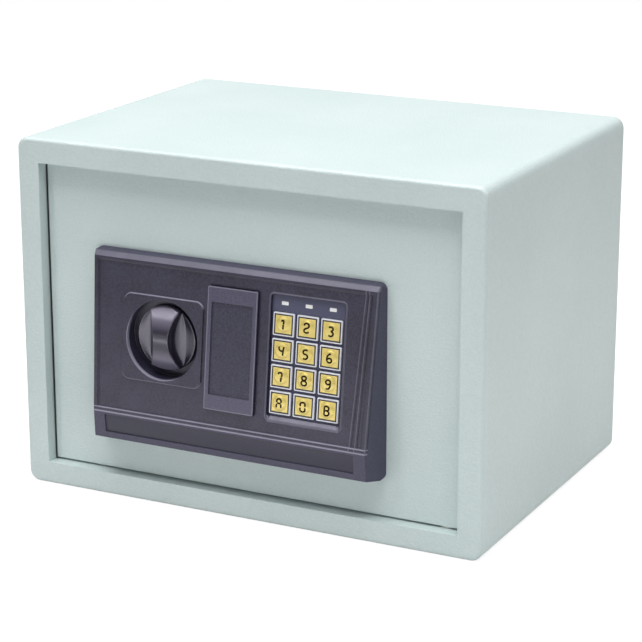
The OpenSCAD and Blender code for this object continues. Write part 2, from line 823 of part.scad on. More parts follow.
// Sliding plate that carries both bolts, with its slots and the notch for the plunger
module bolt_carriage() {
    low = bolt_low_z - 12;
    high = bolt_high_z + 12;
    strip_w = 18;
    slot_r = stud_r + slot_gap;
    notch_x = lock_x + bolt_throw;
    notch_half = tab_t / 2 + 1.6;
    y0 = carriage_y - cut;
    y1 = carriage_back_y + cut;
    color(zinc) difference() {
        union() {
            block(flange_x, carriage_y, low, flange_x + carriage_t, bolt_y + bolt_r, high);
            block(flange_x, carriage_y, low, flange_x + strip_w, carriage_back_y, high);
            block(flange_x, carriage_y, knob_z - stud_dz - 10, crank_x + 13, carriage_back_y, arm_top);
            block(crank_x, carriage_y, arm_z, arm_end, carriage_back_y, arm_top);
        }
        for (z = [knob_z - stud_dz, knob_z + stud_dz])
            slot_y(stud_x, z, stud_x + bolt_throw, z, y0, y1, slot_r);
        slot_y(crank_x, crank_pin_z, crank_x, knob_z + crank_r, y0, y1, crank_pin_r + slot_gap);
        block(notch_x - notch_half, y0, arm_top - plunger_drop, notch_x + notch_half, y1, arm_top + cut);
        for (z = [bolt_low_z, bolt_high_z])
            rod_x(flange_x - cut, flange_x + carriage_t + cut, bolt_y, z, rivet_r);
    }
}

// Two round bolts, riveted through the carriage's flange
module locking_bolts() {
    tip = 1.5;
    color(steel) for (z = [bolt_low_z, bolt_high_z]) {
        translate([bolt_tip_x, bolt_y, z]) rotate([0, 90, 0])
            cylinder(h = tip, r1 = bolt_r - tip, r2 = bolt_r);
        rod_x(bolt_tip_x + tip, flange_x, bolt_y, z, bolt_r);
        rod_x(flange_x, flange_x + carriage_t, bolt_y, z, rivet_r);
        rod_x(flange_x + carriage_t, flange_x + carriage_t + 2, bolt_y, z, rivet_r + 2);
    }
}

// ---- Override lock ----

// Barrel of the key lock, flanged against the door's front
module lock_barrel() {
    color(brass) difference() {
        union() {
            rod_y(lock_x, lock_z, barrel_front_y, barrel_back_y, barrel_r);
            rod_y(lock_x, lock_z, door_front_y - barrel_flange_t, door_front_y, barrel_r + 2);
        }
        rod_y(lock_x, lock_z, barrel_front_y - cut, barrel_back_y + cut, plug_r + run_fit);
    }
}

// Hexagonal nut that clamps the barrel
module lock_nut() {
    color(zinc) difference() {
        facing(lock_x, door_back_y + nut_t, lock_z) rotate([0, 0, 30])
            cylinder(h = nut_t, r = barrel_r + 4.5, $fn = 6);
        rod_y(lock_x, lock_z, door_back_y - cut, door_back_y + nut_t + cut, barrel_r);
    }
}

// Plug with its key slot and the spindle for the cam
module lock_plug() {
    slot_w = 1.6;
    slot_l = 8;
    color(brass) difference() {
        union() {
            rod_y(lock_x, lock_z, barrel_front_y + 0.4, barrel_back_y, plug_r);
            rod_y(lock_x, lock_z, barrel_back_y, cam_y + cam_t, spindle_r);
        }
        block(lock_x - slot_w / 2, barrel_front_y - cut, lock_z - slot_l / 2,
            lock_x + slot_w / 2, barrel_front_y + 18, lock_z + slot_l / 2);
        rod_y(lock_x, lock_z, cam_y, cam_y + cam_t + cut, screw_r);
    }
}

// Radius of the snail cam, by the angle back from its top
function snail_r(a) = a <= 100 ? cam_r + (cam_lobe_r - cam_r) * min(1, a / 90) : cam_r;

// Snail cam that lifts the plunger as the key turns
module release_cam() {
    color(zinc) difference() {
        facing(lock_x, cam_y + cam_t, lock_z) linear_extrude(cam_t)
            polygon([for (a = [0:5:355]) [-snail_r(a) * sin(a), snail_r(a) * cos(a)]]);
        rod_y(lock_x, lock_z, cam_y - cut, cam_y + cam_t + cut, spindle_r);
    }
}

// Screw that holds the cam on the plug
module cam_screw() {
    color(steel) {
        rod_y(lock_x, lock_z, cam_y + 0.5, cam_y + cam_t, screw_r);
        rod_y(lock_x, lock_z, cam_y + cam_t, cam_y + cam_t + 1.5, spindle_r + 1.5);
    }
}

// Cover over the lock: a framed plate with four pegs, pulled straight off the face
module lock_cover() {
    side = 3.2;
    end = 10.4;
    cover_v = pocket_v + cover_h / 2;
    bottom = face_floor - 0.6;
    field_sunk = 1;
    color(moulding) difference() {
        union() {
            on_face(lock_x, cover_v, bottom) round_block(cover_w, cover_h, 0.8, cover_t);
            for (x = [-1, 1], y = [-1, 1])
                on_face(lock_x + x * (cover_w / 2 - 5), cover_v + y * (cover_h / 2 - 6), bottom - 3)
                    cylinder(h = 4, r = 1.8);
        }
        on_face(lock_x, cover_v, bottom + cover_t - field_sunk)
            round_block(cover_w - 2 * side, cover_h - 2 * end, 0.5, 5);
    }
}

// ---- Solenoid ----

// Folded frame round the coil
module solenoid_frame() {
    half_w = coil_r + 1;
    low = coil_bottom - sheet;
    high = coil_bottom + coil_h;
    reach = plunger_y + coil_r;
    color(steel) difference() {
        union() {
            block(lock_x - half_w, door_back_y, low, lock_x + half_w, door_back_y + sheet, high + sheet);
            block(lock_x - half_w, door_back_y, low, lock_x + half_w, reach, low + sheet);
            block(lock_x - half_w, door_back_y, high, lock_x + half_w, reach, high + sheet);
        }
        translate([lock_x, plunger_y, low - cut]) cylinder(h = sheet + 2 * cut, r = plunger_r + seat);
    }
}

// Wound coil on its bobbin
module solenoid_coil() {
    color(copper) translate([lock_x, plunger_y, coil_bottom]) difference() {
        cylinder(h = coil_h, r = coil_r);
        translate([0, 0, -cut]) cylinder(h = coil_h + 2 * cut, r = plunger_r + seat);
    }
}

// Plunger: the tab over the carriage blocks it, the foot rides on the cam
module plunger() {
    color(steel) {
        translate([lock_x, plunger_y, foot_z + 0.6])
            cylinder(h = coil_bottom + coil_h / 2 - foot_z, r = plunger_r);
        rod_y(lock_x, foot_z, plunger_y - plunger_r + 1, plunger_y + plunger_r - 1, foot_r);
        block(lock_x - tab_t / 2, carriage_y, tab_z, lock_x + tab_t / 2, plunger_y, tab_z + tab_t);
        translate([lock_x, plunger_y, tab_z + tab_t])
            cylinder(h = collar_top - tab_z - tab_t, r = spring_r + 1);
    }
}

// Point of the spring's centre line, by its share of the length
function spring_point(u) = [
    spring_r * cos(360 * spring_turns * u),
    spring_r * sin(360 * spring_turns * u),
    spring_wire / 2 + u * (spring_l - spring_wire)
];

// Return spring round the plunger, between its collar and the frame
module plunger_spring() {
    sides = 6;
    rings = 16 * spring_turns;
    ring = [for (i = [0:rings], s = [0:sides - 1])
        let (u = i / rings, p = spring_point(u), a = 360 * spring_turns * u, b = 360 * s / sides)
            [p[0] + spring_wire / 2 * cos(b) * cos(a), p[1] + spring_wire / 2 * cos(b) * sin(a),
             p[2] + spring_wire / 2 * sin(b)]];
    walls = [for (i = [0:rings - 1], s = [0:sides - 1])
        let (a = i * sides + s, b = i * sides + (s + 1) % sides) each [
            [a, b, b + sides], [a, b + sides, a + sides]]];
    first = [for (s = [1:sides - 2]) [0, s + 1, s]];
    last = [for (s = [1:sides - 2]) [rings * sides, rings * sides + s, rings * sides + s + 1]];
    color(steel) translate([lock_x, plunger_y, collar_top])
        polyhedron(points = ring, faces = concat(walls, first, last));
}

// ---- Inner side of the door ----

// Places children at the four posts of the inner cover
module at_cover_posts() {
    for (x = [inner_left + post_in, inner_right - post_in], z = [inner_bottom + post_in, inner_top - post_in])
        translate([x, 0, z]) children();
}

// Pan of sheet steel over the mechanism, open where the bolts leave it
module inner_cover() {
    w = inner_right - inner_left;
    h = inner_top - inner_bottom;
    x = (inner_left + inner_right) / 2;
    z = (inner_bottom + inner_top) / 2;
    back = inner_back_y;
    notch_r = bolt_r + 1;
    color(paint) difference() {
        facing_back(x, door_back_y, z) round_block(w, h, inner_round, inner_d);
        facing_back(x, door_back_y - cut, z) round_block(w - 2 * inner_sheet, h - 2 * inner_sheet,
            inner_round - inner_sheet, inner_d + cut - inner_sheet);
        for (z = [bolt_low_z, bolt_high_z]) {
            rod_x(inner_left - cut, inner_left + 2 * inner_sheet, bolt_y, z, notch_r);
            block(inner_left - cut, door_back_y - cut, z - notch_r, inner_left + 2 * inner_sheet, bolt_y,
                z + notch_r);
        }
        facing_back(battery_x, back - 2 * inner_sheet, battery_z)
            round_block(box_w + 0.4, box_h + 0.4, 2, 4 * inner_sheet);
        rod_y(reset_x, reset_z, back - 2 * inner_sheet, back + cut, reset_r + hole_gap);
        at_cover_posts() rod_y(0, 0, back - 2 * inner_sheet, back + cut, screw_r + 0.2);
    }
}

// Posts welded behind the door plate, which the inner cover is screwed to
module cover_posts() {
    color(steel) at_cover_posts() difference() {
        rod_y(0, 0, door_back_y, inner_back_y - inner_sheet, post_r);
        rod_y(0, 0, inner_back_y - 14, inner_back_y, screw_r);
    }
}

// Screws of the inner cover
module cover_screws() {
    color(zinc) at_cover_posts() {
        rod_y(0, 0, inner_back_y - 10, inner_back_y, screw_r);
        rod_y(0, 0, inner_back_y, inner_back_y + screw_head_t, screw_head_r);
    }
}

// Plastic tray for the cells, dropped into the cover's window
module battery_box() {
    front = inner_back_y - box_d;
    flange_t = 1.2;
    rail = 2;
    flange_h = box_h + 2 * box_flange + 2 * rail;
    color("#2a2a2e") difference() {
        union() {
            facing_back(battery_x, front, battery_z) round_block(box_w, box_h, 2, box_d);
            facing_back(battery_x, inner_back_y, battery_z)
                round_block(box_w + 2 * box_flange, flange_h, 2, flange_t);
            for (s = [-1, 1])
                facing_back(battery_x, inner_back_y, battery_z + s * (flange_h / 2 - rail / 2))
                    round_block(box_w + 2 * box_flange, rail, 0.6, flange_t + lid_t);
        }
        facing_back(battery_x, front + box_wall, battery_z)
            round_block(box_w - 2 * box_wall, box_h - 2 * box_wall, 1, box_d + 2 * flange_t);
    }
}

// Four round cells side by side
module battery_cells() {
    cell_y = inner_back_y - box_d + box_wall + cell_d / 2 + 0.2;
    nub = 1;
    color("#8f9aa0") for (i = [0:3])
        translate([battery_x + (i - 1.5) * (cell_d + 1), cell_y, battery_z - cell_l / 2]) {
            cylinder(h = cell_l - nub, r = cell_d / 2);
            cylinder(h = cell_l, r = 2.75);
        }
}

// Lid that slides off the tray
module battery_lid() {
    lid_y = inner_back_y + 1.2;
    lid_h = box_h + 2 * box_flange - 2 * seat;
    groove = 1.6;
    groove_l = 24;
    color("#35353a") difference() {
        facing_back(battery_x, lid_y, battery_z) round_block(box_w + 2 * box_flange, lid_h, 1.5, lid_t);
        for (i = [0:3])
            facing_back(battery_x - box_w / 2 + 6 + i * 2 * groove, lid_y + lid_t - 0.8, battery_z)
                round_block(groove, groove_l, 0.7, lid_t);
    }
}

// Switch that the reset button works
module reset_switch() {
    back = inner_back_y - inner_sheet;
    color("#202024") difference() {
        rod_y(reset_x, reset_z, back - 10, back, 7);
        rod_y(reset_x, reset_z, back - 8, back + cut, reset_r + run_fit);
    }
}

// Reset button, proud of the inner cover
module reset_button() {
    back = inner_back_y - inner_sheet;
    color(red) rod_y(reset_x, reset_z, back - 5, inner_back_y + reset_travel + 1, reset_r);
}

body_shell();
back_panel();
floor_mat();
door_stops();
strike_angle();
hinge_bushes();
door_plate();
hinge_blocks();
hinge_pins();
panel_housing();
panel_screws();
keypad_plate();
led_lenses();
contact_mat();
circuit_board();
board_screws();
buzzer();
knob_bush();
knob();
knob_shaft();
knob_crank();
guide_studs();
bolt_guide();
bolt_carriage();
locking_bolts();
lock_barrel();
lock_nut();
lock_plug();
release_cam();
cam_screw();
lock_cover();
solenoid_frame();
solenoid_coil();
plunger();
plunger_spring();
battery_box();
battery_cells();
battery_lid();
inner_cover();
cover_posts();
cover_screws();
reset_switch();
reset_button();
key_cap(0, 0);  // key_1
key_cap(1, 0);  // key_2
key_cap(2, 0);  // key_3
key_cap(0, 1);  // key_4
key_cap(1, 1);  // key_5
key_cap(2, 1);  // key_6
key_cap(0, 2);  // key_7
key_cap(1, 2);  // key_8
key_cap(2, 2);  // key_9
key_cap(0, 3);  // key_a
key_cap(1, 3);  // key_0
key_cap(2, 3);  // key_b
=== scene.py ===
# Steel safe deposit box with a tilted control panel, in metres.
import math
import bmesh
import bpy
from mathutils import Matrix, Vector


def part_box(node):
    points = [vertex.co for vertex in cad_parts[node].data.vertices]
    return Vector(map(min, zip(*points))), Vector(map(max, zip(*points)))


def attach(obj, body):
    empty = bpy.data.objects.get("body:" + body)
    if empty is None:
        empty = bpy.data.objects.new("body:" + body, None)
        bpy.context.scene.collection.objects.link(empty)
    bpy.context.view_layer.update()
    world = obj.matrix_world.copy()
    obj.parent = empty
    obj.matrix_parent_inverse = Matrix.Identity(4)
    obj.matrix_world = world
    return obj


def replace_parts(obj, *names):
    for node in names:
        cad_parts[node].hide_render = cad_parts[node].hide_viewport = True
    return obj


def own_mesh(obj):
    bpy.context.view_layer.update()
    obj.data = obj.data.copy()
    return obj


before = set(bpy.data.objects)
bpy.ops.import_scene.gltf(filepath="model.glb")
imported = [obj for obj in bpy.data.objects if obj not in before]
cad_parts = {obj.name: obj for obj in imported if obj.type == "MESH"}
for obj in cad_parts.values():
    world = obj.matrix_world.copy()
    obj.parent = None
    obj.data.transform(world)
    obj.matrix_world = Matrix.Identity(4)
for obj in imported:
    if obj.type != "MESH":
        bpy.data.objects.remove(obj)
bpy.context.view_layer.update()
MM = 0.001

# ---- Cabinet ----
# Sheet steel box, folded and welded, its seams ground flush. Powder coated in a pale grey green:
# satin, with a fine orange-peel skin. Painted shade darkens the coat in the gap beside the door.


def srgb(red, green, blue):
    """A colour as a shader wants it, from its 0 to 255 screen values."""
    parts = [c / 255 for c in (red, green, blue)]
    return tuple(c / 12.92 if c <= 0.04045 else ((c + 0.055) / 1.055) ** 2.4 for c in parts) + (1.0,)


class Level:
    """One output in a finish's nodes. Arithmetic on it adds Math nodes."""

    def __init__(self, finish, socket):
        self.finish, self.socket = finish, socket

    def maths(self, operation, *values):
        return self.finish.node("ShaderNodeMath", {"operation": operation}, *values)

    def __add__(self, other):
        return self.maths("ADD", self, other)

    def __radd__(self, other):
        return self.maths("ADD", other, self)

    def __sub__(self, other):
        return self.maths("SUBTRACT", self, other)

    def __rsub__(self, other):
        return self.maths("SUBTRACT", other, self)

    def __mul__(self, other):
        return self.maths("MULTIPLY", self, other)

    def __rmul__(self, other):
        return self.maths("MULTIPLY", other, self)

    def __abs__(self):
        return self.maths("ABSOLUTE", self)

    def most(self, other):
        return self.maths("MAXIMUM", self, other)

    def least(self, other):
        return self.maths("MINIMUM", self, other)

    def root(self):
        return self.maths("SQRT", self)

    def step(self, start, end):
        """0 up to start, 1 from end, smooth between them."""
        return self.finish.node("ShaderNodeMapRange", {"interpolation_type": "SMOOTHSTEP"},
                                self, start, end, 0.0, 1.0)


class Finish:
    """A material whose nodes are added one by one. Its fixed numbers are set on the shader's sockets."""

    def __init__(self, name, **fixed):
        self.material = bpy.data.materials.new(name)
        self.material.use_nodes = True
        self.nodes, self.links = self.material.node_tree.nodes, self.material.node_tree.links
        self.shader = self.nodes["Principled BSDF"]
        for socket, value in fixed.items():
            self.shader.inputs[socket.replace("_", " ")].default_value = value

    def put(self, socket, value):
        if isinstance(value, Level):
            self.links.new(value.socket, socket)
        else:
            socket.default_value = value

    def node(self, kind, settings=None, *values, out=0, **named):
        made = self.nodes.new(kind)
        for key, value in (settings or {}).items():
            setattr(made, key, value)
        for socket, value in zip(made.inputs, values):
            self.put(socket, value)
        for socket, value in named.items():
            self.put(made.inputs[socket.replace("_", " ")], value)
        return Level(self, made.outputs[out])

    def place(self):
        """The point on the piece, in metres."""
        return self.node("ShaderNodeTexCoord", out=3)

    def axes(self, place):
        """The three numbers of a point."""
        split = self.nodes.new("ShaderNodeSeparateXYZ")
        self.put(split.inputs[0], place)
        return [Level(self, s) for s in split.outputs]

    def moved(self, place, location=(0, 0, 0), rotation=(0, 0, 0), scale=(1, 1, 1)):
        return self.node("ShaderNodeMapping", None, place, location, rotation, scale)

    def noise(self, place, per_metre, detail=2.0, roughness=0.5):
        return self.node("ShaderNodeTexNoise", None, Vector=place, Scale=per_metre, Detail=detail,
                         Roughness=roughness)

    def blend(self, amount, first, second):
        """The first colour where the amount is 0, and the second where it is 1."""
        mix = self.nodes.new("ShaderNodeMix")
        mix.data_type = "RGBA"
        for socket, value in ((mix.inputs[0], amount), (mix.inputs[6], first), (mix.inputs[7], second)):
            self.put(socket, value)
        return Level(self, mix.outputs[2])

    def feed(self, **named):
        for socket, value in named.items():
            self.put(self.shader.inputs[socket.replace("_", " ")], value)

    def bump(self, height, depth, strength=1.0, corner=0.0):
        """Height, from 0 to 1, stands for a depth in metres. A corner radius softens sharp edges."""
        level = {"Height": height, "Distance": depth, "Strength": strength}
        if corner:
            level["Normal"] = self.node("ShaderNodeBevel", {"samples": 8}, corner)
        self.feed(Normal=self.node("ShaderNodeBump", None, **level))

    def on(self, *nodes):
        """Gives the finish to CAD nodes by name."""
        for name in nodes:
            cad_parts[name].material_slots[0].material = self.material


DOOR_FRONT = -116 * MM
DOOR_EDGE = 156.5 * MM
JAMB = 158 * MM
OPENING_MIDDLE = 124.5 * MM
OPENING_HALF = 108.5 * MM

coat = Finish("powder_coat", Metallic=0.0, IOR=1.5)
spot = coat.place()
patch = coat.noise(spot, 9.0, 3.0)
peel = coat.noise(spot, 620.0, 2.0, 0.6)
wave = coat.noise(spot, 110.0, 2.0)
pale, deep = srgb(204, 217, 216), srgb(193, 208, 207)
aside, back, height = coat.axes(spot)
# Painted shade: the coat turns near black in the gap between the door and the frame, where shadow falls.
gap = abs(aside).step(DOOR_EDGE - 0.6 * MM, DOOR_EDGE) * (1 - abs(aside).step(JAMB + 0.6 * MM, JAMB + MM))
gap = gap * (1 - abs(height - OPENING_MIDDLE).step(OPENING_HALF - 0.1 * MM, OPENING_HALF + 0.3 * MM))
behind = 1 - back.step(DOOR_FRONT + 5 * MM, DOOR_FRONT + 6 * MM)
painted_gap_shade = gap * back.step(DOOR_FRONT - 0.4 * MM, DOOR_FRONT + 0.4 * MM) * behind
coat_tone = coat.blend((patch * 0.6 + peel * 0.5).step(0.3, 0.8), pale, deep)
coat.feed(
    Base_Color=coat.blend(painted_gap_shade * 0.9, coat_tone, srgb(52, 60, 60)),
    Roughness=0.34 + 0.16 * peel,
)
coat.bump(peel * 0.6 + wave * 0.4, 0.0006, 1.0)
coat.on("body_shell", "back_panel", "door_stops", "strike_angle", "door_plate", "inner_cover")

# ---- Floor mat ----
# Grey needled felt, cut round the two anchor holes and laid on the floor.

felt = Finish("needled_felt", Roughness=0.95, Specular_IOR_Level=0.2, Sheen_Weight=0.25)
fibre = felt.noise(felt.moved(felt.place(), scale=(1, 0.35, 1)), 1500.0, 4.0, 0.7)
felt.feed(Base_Color=felt.blend(fibre.step(0.3, 0.7), srgb(44, 45, 50), srgb(82, 84, 90)))
felt.bump(fibre, 0.0006)
felt.on("floor_mat")

# ---- Steel parts of the door ----
# Hinge blocks, pins and guides of ground mild steel with a light oil film, bolts that keep fine
# rings from the lathe, and plates and screws with a frosted zinc finish.

ground = Finish("ground_steel", Metallic=1.0)
grain = ground.noise(ground.moved(ground.place(), scale=(1, 1, 0.06)), 1800.0, 3.0, 0.6)
cloud = ground.noise(ground.place(), 35.0, 3.0)
ground.feed(
    Base_Color=ground.blend(cloud.step(0.3, 0.7), srgb(196, 198, 200), srgb(168, 170, 174)),
    Roughness=0.24 + 0.2 * grain,
)
ground.bump(grain, 0.00003)
ground.on("hinge_blocks", "hinge_pins", "knob_shaft", "knob_crank", "cam_screw",
          "solenoid_frame", "plunger", "cover_posts", "bolt_guide")

turned = Finish("turned_steel", Metallic=1.0)
rings = turned.noise(turned.moved(turned.place(), scale=(1, 0.02, 0.02)), 2600.0, 2.0, 0.6)
turned.feed(Base_Color=srgb(205, 206, 208), Roughness=0.16 + 0.16 * rings)
turned.bump(rings, 0.00002)
turned.on("locking_bolts")

zinc = Finish("zinc_plate", Metallic=1.0)
frost = zinc.noise(zinc.place(), 240.0, 4.0, 0.6)
zinc.feed(
    Base_Color=zinc.blend(frost.step(0.3, 0.7), srgb(206, 203, 190), srgb(186, 186, 180)),
    Roughness=0.26 + 0.16 * frost,
)
zinc.on("bolt_carriage", "guide_studs", "panel_screws", "board_screws", "lock_nut", "release_cam",
        "cover_screws")

# ---- Return spring ----
# Spring wire wound round the plunger, between its collar and the solenoid's frame.


def mesh_piece(name, bm, materials, body):
    """A finished piece from a bmesh: its object at the origin, its place in its mesh."""
    mesh = bpy.data.meshes.new(name)
    bm.to_mesh(mesh)
    bm.free()
    piece = bpy.data.objects.new(name, mesh)
    bpy.context.scene.collection.objects.link(piece)
    for each in materials:
        mesh.materials.append(each.material)
    for face in mesh.polygons:
        face.use_smooth = True
    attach(piece, body)
    return piece


low, high = (Vector(corner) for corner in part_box("plunger_spring"))
WIRE = 0.8 * MM
TURNS, STEPS = 6, 24
bm = bmesh.new()
middle = (low + high) / 2
bmesh.ops.create_circle(bm, segments=8, radius=WIRE / 2, matrix=Matrix.Translation(
    (high.x - WIRE / 2, middle.y, low.z + WIRE / 2)) @ Matrix.Rotation(math.pi / 2, 4, "X"))
bmesh.ops.spin(bm, geom=bm.verts[:] + bm.edges[:], cent=middle, axis=(0, 0, 1), angle=TURNS * math.tau,
               dvec=(0, 0, (high.z - low.z - WIRE) / (TURNS * STEPS)), steps=TURNS * STEPS)
bmesh.ops.holes_fill(bm, edges=[e for e in bm.edges if e.is_boundary])
bmesh.ops.recalc_face_normals(bm, faces=bm.faces[:])
coil = mesh_piece("return_spring", bm, [ground], "door")
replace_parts(coil, "plunger_spring")
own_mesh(coil)

# ---- Bushes ----
# Flanged bushes of off-white nylon, turned, for the hinge pins in the jambs and for the knob's
# shaft in the door.

nylon = Finish("nylon", Roughness=0.42, Subsurface_Weight=0.05)
cast = nylon.noise(nylon.place(), 400.0)
nylon.feed(Base_Color=nylon.blend(cast, srgb(232, 230, 222), srgb(222, 219, 208)))
nylon.on("hinge_bushes", "knob_bush")

# ---- Control panel ----
# Housing and lock cover, moulded in charcoal ABS from a finely spark-eroded tool, satin. Painted
# highlights make the housing's edges, ribs, lips and top chamfer paler and a little glossier than
# its face, and painted light makes its sides paler. The cover's edges carry painted highlights and
# its side walls painted shade.

FACE_TOP = Vector((0, -124.6, 175.692)) * MM
TILT = math.radians(6.5527)
FACE_L = 110.4 * MM
ROW = -54.9
KNOB = (-59, ROW)
WELL_R = 27.6 * MM
KEY_POCKET = (49.8, ROW)
SILL_DOWN = 97 * MM
COVER = (-5.4, -54.7)
PANEL_MIDDLE, PANEL_HALF = -7.25 * MM, 107.3 * MM
TAPER = 0.032
on_face = Matrix.Translation(FACE_TOP) @ Matrix.Rotation(math.pi / 2 - TILT, 4, "X")


def face_axes(finish):
    """Across, up and out of the tilted face, from the middle of its top edge."""
    return finish.axes(finish.moved(finish.place(), location=on_face.inverted().to_translation(),
                                    rotation=(TILT - math.pi / 2, 0, 0)))


def outside(across, up, middle, size, corner):
    """How far a point lies outside a rounded rectangle, given in millimetres."""
    a, b = (abs(at - m * MM) - (s / 2 - corner) * MM for at, m, s in zip((across, up), middle, size))
    far_a, far_b = a.most(0), b.most(0)
    return (far_a * far_a + far_b * far_b).root() + a.most(b).least(0) - corner * MM


def line(distance, half):
    """1 on an edge, falling to 0 beside it. Half is half of its width, in millimetres."""
    return 1 - abs(distance).step(0.5 * half * MM, 1.5 * half * MM)


moulding = Finish("charcoal_moulding", IOR=1.5, Specular_Tint=(0.92, 0.9, 1, 1))
spot = moulding.place()
grain = moulding.noise(spot, 800.0, 3.0, 0.65)
flow = moulding.noise(spot, 60.0, 3.0)
across, up, out = face_axes(moulding)
chin = 1 - up.step(-FACE_L - 0.5 * MM, -FACE_L)
chamfer = up.step(-2.6 * MM, -2.2 * MM)
from_knob = across - KNOB[0] * MM
over_knob = up - KNOB[1] * MM
from_keys = across - KEY_POCKET[0] * MM
reach = (from_knob * from_knob + over_knob * over_knob).root()
bezel = line(outside(across, up, KNOB, (62, 59.6), 6), 0.4) * abs(over_knob).step(24 * MM, 28 * MM)
well_edge = line(reach - WELL_R, 0.45) * (0 - from_knob - over_knob).step(2 * MM, 24 * MM)
sill = 1 - abs(up + SILL_DOWN).step(1.9 * MM, 2.3 * MM)
sill = sill * (1 - abs(from_keys).step(26 * MM, 27 * MM))
lip = line(outside(across, up, KEY_POCKET, (56.5, 86.4), 3), 0.5)
steps = line(up + FACE_L, 0.55).most(line(up + FACE_L - 2.8 * MM, 0.4))
inset = PANEL_HALF + TAPER * up - abs(across - PANEL_MIDDLE)
ribs = line(inset, 0.4)
ribs = ribs.most(line(inset - 8.5 * MM + TAPER * up, 0.4)).most(line(inset - 5.9 * MM + 0.018 * up, 0.4))
ribs = ribs * across.step(0, MM) * (1 - chin)
front = out.step(-3.2 * MM, -2.4 * MM)
# Painted highlight: pale lines on the housing's edges, ribs, lips, sill and top chamfer, on the bezel's
# line, brighter towards its top, and on the well's edge at its lower left only.
painted_edge_highlight = (bezel * (0.75 + 8 * over_knob)).most(lip * 0.35).most(ribs * 0.32).most(sill * 0.55)
painted_edge_highlight = painted_edge_highlight.most(steps).most(well_edge).most(chamfer * 0.45)
painted_edge_highlight = painted_edge_highlight * front.most(sill) * (0.6 + 0.4 * flow)
# Painted light: the housing's sides, behind its front and away from the knob's well, take the paler chin
# tone.
painted_side_light = (1 - front) * reach.step(WELL_R + 1.4 * MM, WELL_R + 2.4 * MM)
face_tone = moulding.blend((grain * 0.7 + flow * 0.3).step(0.3, 0.7), srgb(28, 27, 39), srgb(54, 53, 71))
chin_and_painted_side_tone = moulding.blend(grain.step(0.3, 0.7), srgb(60, 58, 76), srgb(72, 70, 90))
body_tone = moulding.blend(chin.most(painted_side_light), face_tone, chin_and_painted_side_tone)
moulding.feed(
    Base_Color=moulding.blend(painted_edge_highlight, body_tone, srgb(150, 147, 166)),
    Roughness=0.3 + 0.16 * grain - 0.08 * painted_edge_highlight,
)
moulding.bump(grain, 0.00008, 0.8, 0.8 * MM)
moulding.on("panel_housing")

cap = Finish("cover_moulding", IOR=1.5, Specular_Tint=(0.92, 0.9, 1, 1))
grain = cap.noise(cap.place(), 800.0, 3.0, 0.65)
across, up, out = face_axes(cap)
field = 1 - outside(across, up, COVER, (31.1, 63.2), 0.5).step(-0.3 * MM, 0.3 * MM)
brim = out.step(0.4 * MM, 0.9 * MM)
# Painted highlight: a pale line round the cover's front edges.
edges = line(outside(across, up, COVER, (37.1, 83.6), 0.8), 0.5) * brim
border_tone = cap.blend(grain.step(0.3, 0.7), srgb(66, 64, 82), srgb(80, 78, 98))
field_and_wall_shade_tone = cap.blend(grain.step(0.3, 0.7), srgb(32, 31, 45), srgb(58, 57, 76))
# Painted shade: the cover's side walls, behind its front, take the dark field tone.
plate_tone = cap.blend(field.most(1 - brim), border_tone, field_and_wall_shade_tone)
cap.feed(
    Base_Color=cap.blend(edges * 0.7, plate_tone, srgb(128, 126, 142)),
    Roughness=0.28 + 0.16 * grain + 0.08 * field,
)
cap.bump(grain, 0.00008, 0.8, 0.6 * MM)
cap.on("lock_cover")

# ---- Chin strip ----
# Thin strip of darker moulding, glued in the shallow recess of the chin, under the face. Its
# edges are just broken.

CHIN_TOP = Vector((0, -137.2, 66)) * MM
CHIN_TILT = math.radians(5.294)
STRIP = Vector((190.2, 12.6, 0.4)) * MM
STRIP_MIDDLE = Vector((-7.25, -8.5, -0.7)) * MM

strip = Finish("chin_strip", IOR=1.5)
grain = strip.noise(strip.place(), 1500.0, 3.0, 0.65)
strip.feed(
    Base_Color=strip.blend(grain.step(0.3, 0.7), srgb(33, 32, 49), srgb(45, 44, 65)),
    Roughness=0.32 + 0.16 * grain,
)
strip.bump(grain, 0.00008, 0.8)
bm = bmesh.new()
bmesh.ops.create_cube(bm, size=1, matrix=Matrix.Diagonal((*STRIP, 1)))
bmesh.ops.bevel(bm, geom=bm.edges[:], offset=0.12 * MM, segments=2, profile=0.5, affect="EDGES",
                material=-1)
bm.transform(Matrix.Translation(CHIN_TOP) @ Matrix.Rotation(math.pi / 2 + CHIN_TILT, 4, "X")
             @ Matrix.Translation(STRIP_MIDDLE))
mesh_piece("chin_strip", bm, [strip], "door")

# ---- Knob ----
# Gloss black moulding, polished, pushed on the end of the shaft. A narrow domed grip stands
# between two deep thumb hollows, and painted highlights make its ends paler.

low, high = (Vector(corner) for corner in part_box("knob"))
hub = (low + high) / 2
KNOB_R = (high.x - low.x) / 2
RISE = high.y - low.y
DOME_DROP = 8.6 * MM
GRIP_HALF = 6 * MM
HOLLOW_R = 38 * MM
HOLLOW_FLOOR, HOLLOW_LIP = 2.2 * MM, 3.7 * MM
GRIP_ROUND, GRIP_ROUND_DROP = 0.8, 0.45 * MM
RIM_ROUND = 1.2
BOW = 13.5

gloss = Finish("gloss_black", IOR=1.65, Specular_Tint=(0.9, 0.86, 1, 1))
rub = gloss.noise(gloss.moved(gloss.place(), scale=(1, 1, 0.1)), 900.0, 3.0)
aside, _, along = gloss.axes(gloss.moved(gloss.place(), location=(59 * MM, 0, -121.15 * MM)))
grip = 1 - (abs(aside) - along * along * BOW).step(GRIP_HALF - 0.6 * MM, GRIP_HALF + 0.2 * MM)
# Painted highlight: the grip is paler towards both its ends.
painted_grip_highlight = grip * abs(along).step(4 * MM, 14 * MM)
gloss.feed(
    Base_Color=gloss.blend(painted_grip_highlight * 0.8, srgb(32, 29, 41), srgb(112, 107, 124)),
    Roughness=0.16 + 0.1 * rub,
)


